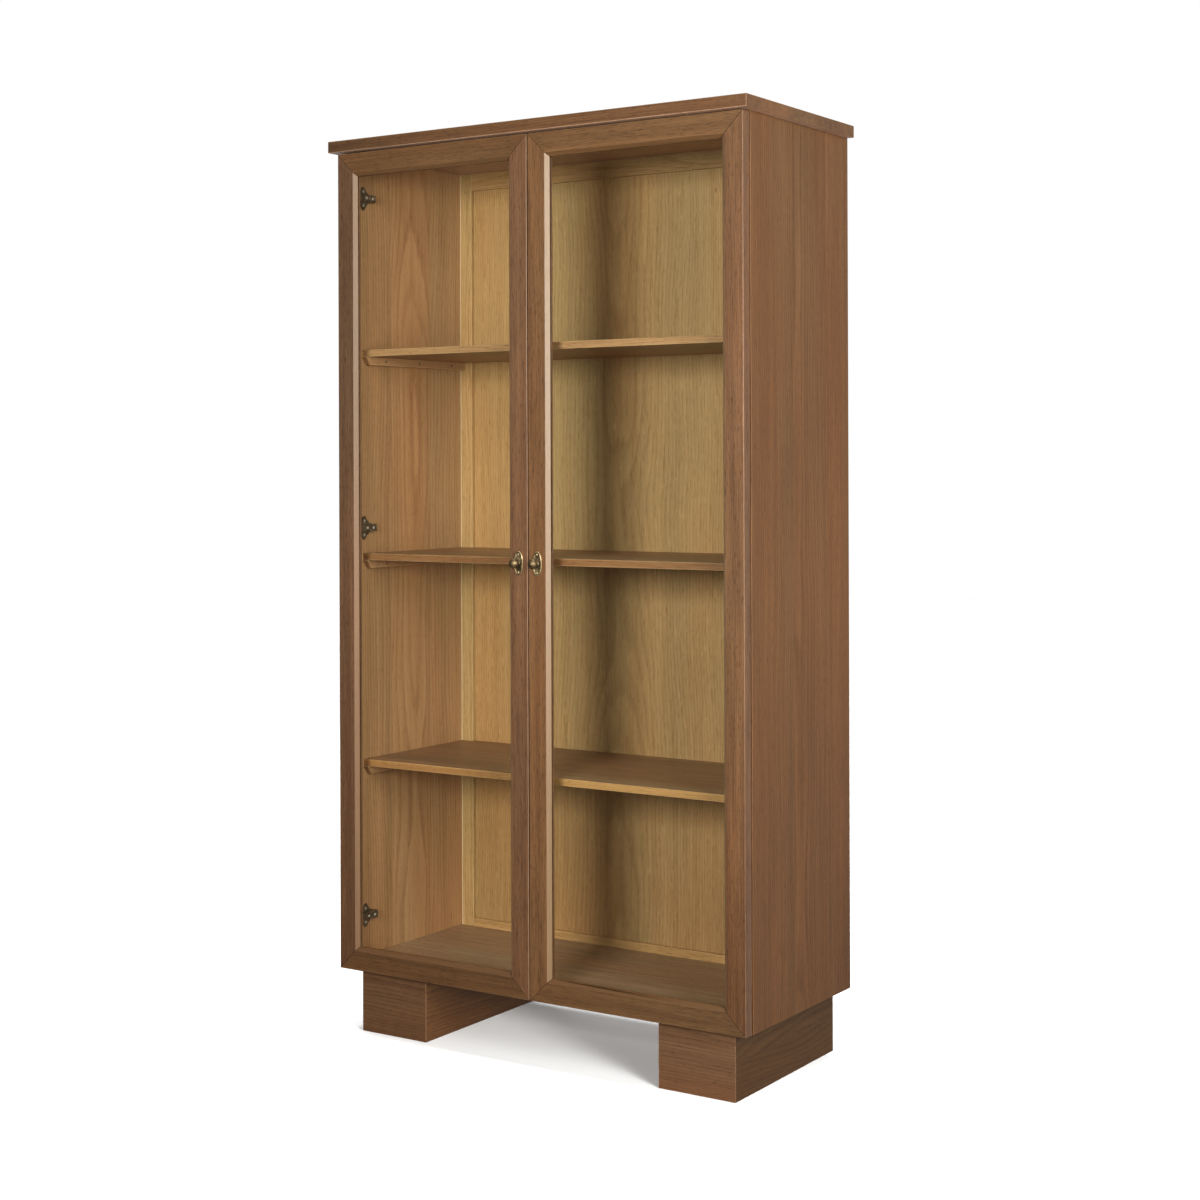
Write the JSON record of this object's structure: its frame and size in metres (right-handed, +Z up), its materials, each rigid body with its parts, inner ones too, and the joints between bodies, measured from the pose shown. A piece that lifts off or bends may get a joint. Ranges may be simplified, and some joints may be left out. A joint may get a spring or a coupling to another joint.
{
  "type": "display cabinet",
  "caption": "Tall free-standing display cabinet with a pair of glazed, mitre-framed doors on concealed hinges, oval-plate knobs, shelves on screwed cleats, an overhanging top and block feet",
  "frame": {"origin": "centre of the bounding box in plan, on the floor", "axes": "+Z up; -Y is the front, where the doors and knobs are; X runs along the front, with the left door as seen from the front at -X"},
  "size_m": [1.0922, 0.4944, 2.032],
  "materials": {
    "stained_oak": "reddish-brown stained oak with a satin lacquer",
    "stained_oak_door": "reddish-brown stained oak with a satin lacquer, bevelled",
    "honey_oak": "honey-coloured oak, clear satin finish",
    "cleat_oak": "stained oak, sawn and lightly finished",
    "clear_glass": "clear float glass",
    "antique_brass": "antique brass, darkened in the hollows",
    "dark_nickel": "dark nickel-plated pressed steel"
  },
  "bodies": {
    "cabinet": {"top_panel": "stained_oak", "side_panel_left": "stained_oak", "side_panel_right": "stained_oak", "bottom_panel": "honey_oak", "back_panel": "honey_oak", "back_stile_left": "honey_oak", "back_stile_right": "honey_oak", "back_rail_top": "honey_oak", "back_rail_bottom": "honey_oak", "shelf_upper": "honey_oak", "cleat_upper_left": "cleat_oak", "cleat_upper_right": "cleat_oak", "shelf_middle": "honey_oak", "cleat_middle_left": "cleat_oak", "cleat_middle_right": "cleat_oak", "shelf_lower": "honey_oak", "cleat_lower_left": "cleat_oak", "cleat_lower_right": "cleat_oak", "foot_left": "stained_oak", "foot_right": "stained_oak", "hinge_plate_left_top": "dark_nickel", "hinge_arm_left_top": "dark_nickel", "hinge_plate_left_middle": "dark_nickel", "hinge_arm_left_middle": "dark_nickel", "hinge_plate_left_bottom": "dark_nickel", "hinge_arm_left_bottom": "dark_nickel", "hinge_plate_right_top": "dark_nickel", "hinge_arm_right_top": "dark_nickel", "hinge_plate_right_middle": "dark_nickel", "hinge_arm_right_middle": "dark_nickel", "hinge_plate_right_bottom": "dark_nickel", "hinge_arm_right_bottom": "dark_nickel"},
    "links_left": {"hinge_link_left_top": "dark_nickel", "hinge_link_left_middle": "dark_nickel", "hinge_link_left_bottom": "dark_nickel"},
    "door_left": {"door_left_hinge_stile": "stained_oak_door", "door_left_meeting_stile": "stained_oak_door", "door_left_top_rail": "stained_oak_door", "door_left_bottom_rail": "stained_oak_door", "door_left_glass": "clear_glass", "door_left_glazing_bead": "stained_oak_door", "knob_plate_left": "antique_brass", "knob_left": "antique_brass", "hinge_cup_left_top": "dark_nickel", "hinge_cup_left_middle": "dark_nickel", "hinge_cup_left_bottom": "dark_nickel"},
    "links_right": {"hinge_link_right_top": "dark_nickel", "hinge_link_right_middle": "dark_nickel", "hinge_link_right_bottom": "dark_nickel"},
    "door_right": {"door_right_hinge_stile": "stained_oak_door", "door_right_meeting_stile": "stained_oak_door", "door_right_top_rail": "stained_oak_door", "door_right_bottom_rail": "stained_oak_door", "door_right_glass": "clear_glass", "door_right_glazing_bead": "stained_oak_door", "knob_plate_right": "antique_brass", "knob_right": "antique_brass", "hinge_cup_right_top": "dark_nickel", "hinge_cup_right_middle": "dark_nickel", "hinge_cup_right_bottom": "dark_nickel"}
  },
  "joints": [
    {"name": "hinge_link_left_turn", "type": "hinge", "parent": "cabinet", "child": "links_left", "pos_m": [-0.5033, -0.2026, 0], "axis": [0, 0, 1], "range_deg": [0, 22.28]},
    {"name": "door_left_swing", "type": "hinge", "parent": "cabinet", "child": "door_left", "pos_m": [-0.5213, -0.2048, 0], "axis": [0, 0, -1], "range_deg": [0, 100]},
    {"name": "hinge_link_right_turn", "type": "hinge", "parent": "cabinet", "child": "links_right", "pos_m": [0.5033, -0.2026, 0], "axis": [0, 0, -1], "range_deg": [0, 22.28]},
    {"name": "door_right_swing", "type": "hinge", "parent": "cabinet", "child": "door_right", "pos_m": [0.5213, -0.2048, 0], "axis": [0, 0, 1], "range_deg": [0, 100]}
  ],
  "couplings": [
    {"joint": "hinge_link_left_turn", "follows": "door_left_swing", "ratio": 0.22277},
    {"joint": "hinge_link_right_turn", "follows": "door_right_swing", "ratio": 0.22277}
  ]
}
